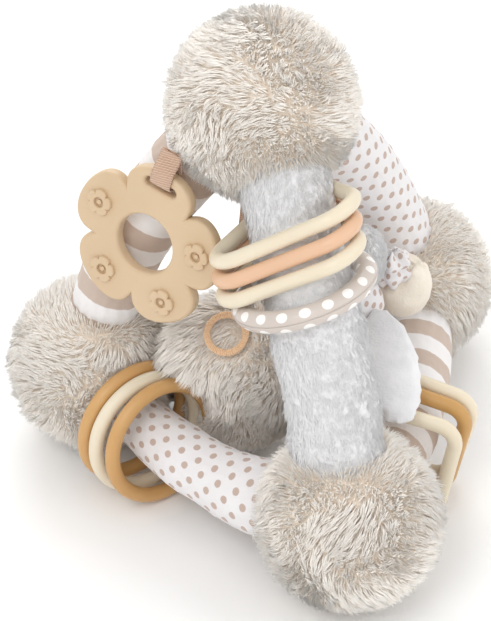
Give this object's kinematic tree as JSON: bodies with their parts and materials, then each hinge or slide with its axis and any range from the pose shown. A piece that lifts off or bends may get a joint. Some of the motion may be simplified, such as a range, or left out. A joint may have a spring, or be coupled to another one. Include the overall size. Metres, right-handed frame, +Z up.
{
  "type": "baby rattle",
  "caption": "Plush pyramid rattle: furry balls joined by stuffed bars, with loose teething rings, a rattle ring, a flower teether and a soft animal hung inside.",
  "frame": {"origin": "middle of the footprint on the floor", "axes": "+Z up; -Y towards the front ball; +X along the hidden rear bar, from the left ball to the right ball"},
  "size_m": [0.294, 0.281, 0.29],
  "materials": {
    "fur": "long pile plush",
    "white_plush": "short pile plush",
    "striped_cotton": "woven cotton with wide stripes",
    "dotted_cotton": "woven cotton with small dots",
    "stuffing": "loose fibre",
    "velboa": "short pile",
    "ribbon": "ribbed",
    "embroidery": "satin stitch",
    "cream_plastic": "satin",
    "peach_plastic": "satin",
    "tan_plastic": "satin",
    "ochre_plastic": "satin",
    "sand_plastic": "satin",
    "rattle_shell": "translucent with printed dots",
    "bead_plastic": "polished"
  },
  "bodies": {
    "frame": {"ball_top_cover": "fur", "ball_top_stuffing": "stuffing", "ball_left_cover": "fur", "ball_left_stuffing": "stuffing", "ball_right_cover": "fur", "ball_right_stuffing": "stuffing", "ball_front_cover": "fur", "ball_front_stuffing": "stuffing", "bar_top_front_sleeve": "white_plush", "bar_top_front_stuffing": "stuffing", "bar_top_left_sleeve": "striped_cotton", "bar_top_left_stuffing": "stuffing", "bar_top_right_sleeve": "dotted_cotton", "bar_top_right_stuffing": "stuffing", "bar_left_front_sleeve": "dotted_cotton", "bar_left_front_stuffing": "stuffing", "bar_right_front_sleeve": "striped_cotton", "bar_right_front_stuffing": "stuffing", "bar_left_right_sleeve": "white_plush", "bar_left_right_stuffing": "stuffing", "flower_ribbon": "ribbon"},
    "triangle_upper": {"ring_triangle_upper": "cream_plastic"},
    "triangle_middle": {"ring_triangle_middle": "peach_plastic"},
    "triangle_lower": {"ring_triangle_lower": "cream_plastic"},
    "rattle_ring": {"rattle_ring_lower_half": "rattle_shell", "rattle_ring_upper_half": "rattle_shell"},
    "round_back": {"ring_round_back": "tan_plastic"},
    "round_middle": {"ring_round_middle": "cream_plastic"},
    "round_front": {"ring_round_front": "tan_plastic"},
    "square_front": {"ring_square_front": "cream_plastic"},
    "square_middle": {"ring_square_middle": "ochre_plastic"},
    "square_back": {"ring_square_back": "cream_plastic"},
    "flower": {"flower_teether": "sand_plastic"},
    "animal": {"animal_hanging_ribbon": "ribbon", "animal_body": "fur", "animal_shoulder": "white_plush", "animal_torso": "dotted_cotton", "animal_cuff": "dotted_cotton", "animal_paw": "velboa", "animal_ear": "white_plush", "animal_stitched_ring": "embroidery"},
    "bead_1": {"rattle_bead_1": "bead_plastic"},
    "bead_2": {"rattle_bead_2": "bead_plastic"},
    "bead_3": {"rattle_bead_3": "bead_plastic"},
    "bead_4": {"rattle_bead_4": "bead_plastic"},
    "bead_5": {"rattle_bead_5": "bead_plastic"}
  },
  "joints": [
    {"name": "triangle_upper_slide", "type": "hinge", "parent": "frame", "child": "triangle_upper", "pos_m": [0.01001, 0.22953, -0.02648], "axis": [0.9976, -0.0386, 0.0574], "range_deg": [0, 1.5]},
    {"name": "triangle_middle_slide", "type": "hinge", "parent": "triangle_upper", "child": "triangle_middle", "pos_m": [0.01001, 0.22953, -0.02648], "axis": [0.9976, -0.0386, 0.0574], "range_deg": [0, 1.5]},
    {"name": "triangle_lower_slide", "type": "hinge", "parent": "triangle_middle", "child": "triangle_lower", "pos_m": [0.01001, 0.22953, -0.02648], "axis": [0.9976, -0.0386, 0.0574], "range_deg": [0, 1.5]},
    {"name": "rattle_ring_slide", "type": "hinge", "parent": "triangle_lower", "child": "rattle_ring", "pos_m": [0.01001, 0.22953, -0.02648], "axis": [0.9976, -0.0386, 0.0574], "range_deg": [0, 4]},
    {"name": "round_back_slide", "type": "hinge", "parent": "frame", "child": "round_back", "pos_m": [0.1034, 0.07738, 0.1949], "axis": [-0.5534, -0.2941, 0.7792], "range_deg": [0, 1]},
    {"name": "round_middle_slide", "type": "hinge", "parent": "round_back", "child": "round_middle", "pos_m": [0.1034, 0.07738, 0.1949], "axis": [-0.5534, -0.2941, 0.7792], "range_deg": [0, 1]},
    {"name": "round_front_slide", "type": "hinge", "parent": "round_middle", "child": "round_front", "pos_m": [0.1034, 0.07738, 0.1949], "axis": [-0.5534, -0.2941, 0.7792], "range_deg": [0, 1.5]},
    {"name": "square_front_slide", "type": "hinge", "parent": "frame", "child": "square_front", "pos_m": [-0.13686, 0.10492, 0.22232], "axis": [-0.5448, 0.3117, -0.7785], "range_deg": [-1.8, 0]},
    {"name": "square_middle_slide", "type": "hinge", "parent": "square_front", "child": "square_middle", "pos_m": [-0.13686, 0.10492, 0.22232], "axis": [-0.5448, 0.3117, -0.7785], "range_deg": [-2.5, 0]},
    {"name": "square_back_slide", "type": "hinge", "parent": "square_middle", "child": "square_back", "pos_m": [-0.13686, 0.10492, 0.22232], "axis": [-0.5448, 0.3117, -0.7785], "range_deg": [-3, 0]},
    {"name": "flower_swing", "type": "hinge", "parent": "frame", "child": "flower", "pos_m": [-0.0707, 0.03161, 0.20512], "axis": [-0.7508, -0.6329, 0.189], "range_deg": [-8, 0]},
    {"name": "animal_swing", "type": "hinge", "parent": "frame", "child": "animal", "pos_m": [-0.013, 0.0495, 0.1972], "axis": [0.1961, -0.9806, 0], "range_deg": [0, 2]},
    {"name": "bead_1_roll", "type": "hinge", "parent": "rattle_ring", "child": "bead_1", "pos_m": [-0.01412, -0.03696, 0.17018], "axis": [0.2153, -0.3115, -0.9255], "range_deg": [0, 40]},
    {"name": "bead_2_roll", "type": "hinge", "parent": "bead_1", "child": "bead_2", "pos_m": [-0.01412, -0.03696, 0.17018], "axis": [0.2153, -0.3115, -0.9255], "range_deg": [0, 30]},
    {"name": "bead_3_roll", "type": "hinge", "parent": "bead_2", "child": "bead_3", "pos_m": [-0.01412, -0.03696, 0.17018], "axis": [0.2153, -0.3115, -0.9255], "range_deg": [0, 30]},
    {"name": "bead_4_roll", "type": "hinge", "parent": "bead_3", "child": "bead_4", "pos_m": [-0.01412, -0.03696, 0.17018], "axis": [0.2153, -0.3115, -0.9255], "range_deg": [0, 30]},
    {"name": "bead_5_roll", "type": "hinge", "parent": "bead_4", "child": "bead_5", "pos_m": [-0.01412, -0.03696, 0.17018], "axis": [0.2153, -0.3115, -0.9255], "range_deg": [0, 30]}
  ]
}
